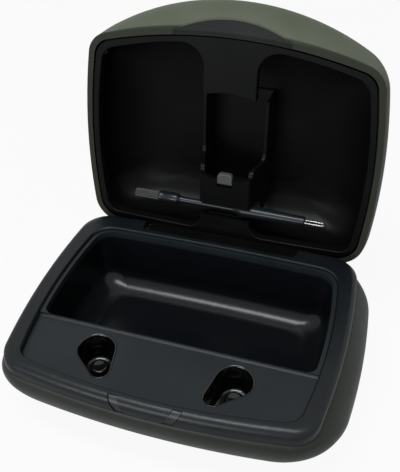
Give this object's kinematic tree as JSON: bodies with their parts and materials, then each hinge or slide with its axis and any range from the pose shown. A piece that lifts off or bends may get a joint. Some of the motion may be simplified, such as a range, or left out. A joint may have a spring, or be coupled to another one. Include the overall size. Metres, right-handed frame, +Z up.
{
  "type": "hearing aid charger",
  "caption": "Clamshell charging case with a domed hinged lid, a storage well, sloped egg-shaped charging ports with spring contacts, and a cleaning tool and capsule holder in the lid.",
  "frame": {"origin": "centre of the foot pad's underside, on the table", "axes": "+Z up, +X to the right seen from the front, +Y towards the hinge at the back; the front with the ports faces -Y"},
  "size_m": [0.1074, 0.1073, 0.1037],
  "materials": {
    "outer_shell": "matte, finely textured",
    "rim": "satin",
    "tray": "satin",
    "cup": "gloss",
    "inner_frame": "satin",
    "tool_black": "satin gloss",
    "tip_grey": "matte",
    "wire": "polished",
    "steel": "satin",
    "contact_gold": "polished",
    "board_green": "satin",
    "chip_black": "matte",
    "led_white": "gloss",
    "light_guide": "translucent satin",
    "foot_rubber": "matte",
    "magnet": "bright"
  },
  "bodies": {
    "case": {"base_shell": "outer_shell", "base_rim": "rim", "charging_tray": "tray", "port_cup_left": "cup", "port_cup_right": "cup", "contact_barrels": "contact_gold", "contact_springs": "steel", "contact_board": "board_green", "main_board": "board_green", "main_chips": "chip_black", "charge_chips": "chip_black", "board_header": "chip_black", "board_screws": "steel", "case_screws": "steel", "light_guide_left": "light_guide", "light_guide_right": "light_guide", "status_leds": "led_white", "socket_shell": "steel", "socket_tongue": "chip_black", "foot_pad": "foot_rubber", "weight_bar": "steel", "hinge_pins": "steel", "rim_magnets": "magnet"},
    "lid": {"lid_shell": "outer_shell", "lid_frame": "inner_frame", "thumb_grip": "rim", "lid_magnets": "magnet", "capsule_cradle": "inner_frame", "capsule_bracket": "inner_frame"},
    "catch": {"capsule_catch": "inner_frame"},
    "tool": {"tool_handle": "tool_black", "tool_tip": "tip_grey", "tool_loop": "wire"},
    "pin_left_inner": {"plunger_left_inner": "contact_gold"},
    "pin_left_toe": {"plunger_left_toe": "contact_gold"},
    "pin_right_inner": {"plunger_right_inner": "contact_gold"},
    "pin_right_toe": {"plunger_right_toe": "contact_gold"}
  },
  "joints": [
    {"name": "lid_hinge", "type": "hinge", "parent": "case", "child": "lid", "pos_m": [0, 0.027, 0.0261], "axis": [1, 0, 0], "range_deg": [0, 98]},
    {"name": "catch_slide", "type": "slide", "parent": "lid", "child": "catch", "axis": [0, -0.1392, -0.9903], "range_m": [0, 0.001], "stiffness_N_per_m": 400, "springref_m": -0.0005},
    {"name": "tool_pull", "type": "slide", "parent": "lid", "child": "tool", "axis": [0, -0.9903, 0.1392], "range_m": [0, 0.014]},
    {"name": "pin_left_inner_press", "type": "slide", "parent": "case", "child": "pin_left_inner", "axis": [0, 0, -1], "range_m": [0, 0.0008], "stiffness_N_per_m": 400, "springref_m": -0.0005},
    {"name": "pin_left_toe_press", "type": "slide", "parent": "case", "child": "pin_left_toe", "axis": [0, 0, -1], "range_m": [0, 0.0008], "stiffness_N_per_m": 400, "springref_m": -0.0005},
    {"name": "pin_right_inner_press", "type": "slide", "parent": "case", "child": "pin_right_inner", "axis": [0, 0, -1], "range_m": [0, 0.0008], "stiffness_N_per_m": 400, "springref_m": -0.0005},
    {"name": "pin_right_toe_press", "type": "slide", "parent": "case", "child": "pin_right_toe", "axis": [0, 0, -1], "range_m": [0, 0.0008], "stiffness_N_per_m": 400, "springref_m": -0.0005}
  ]
}
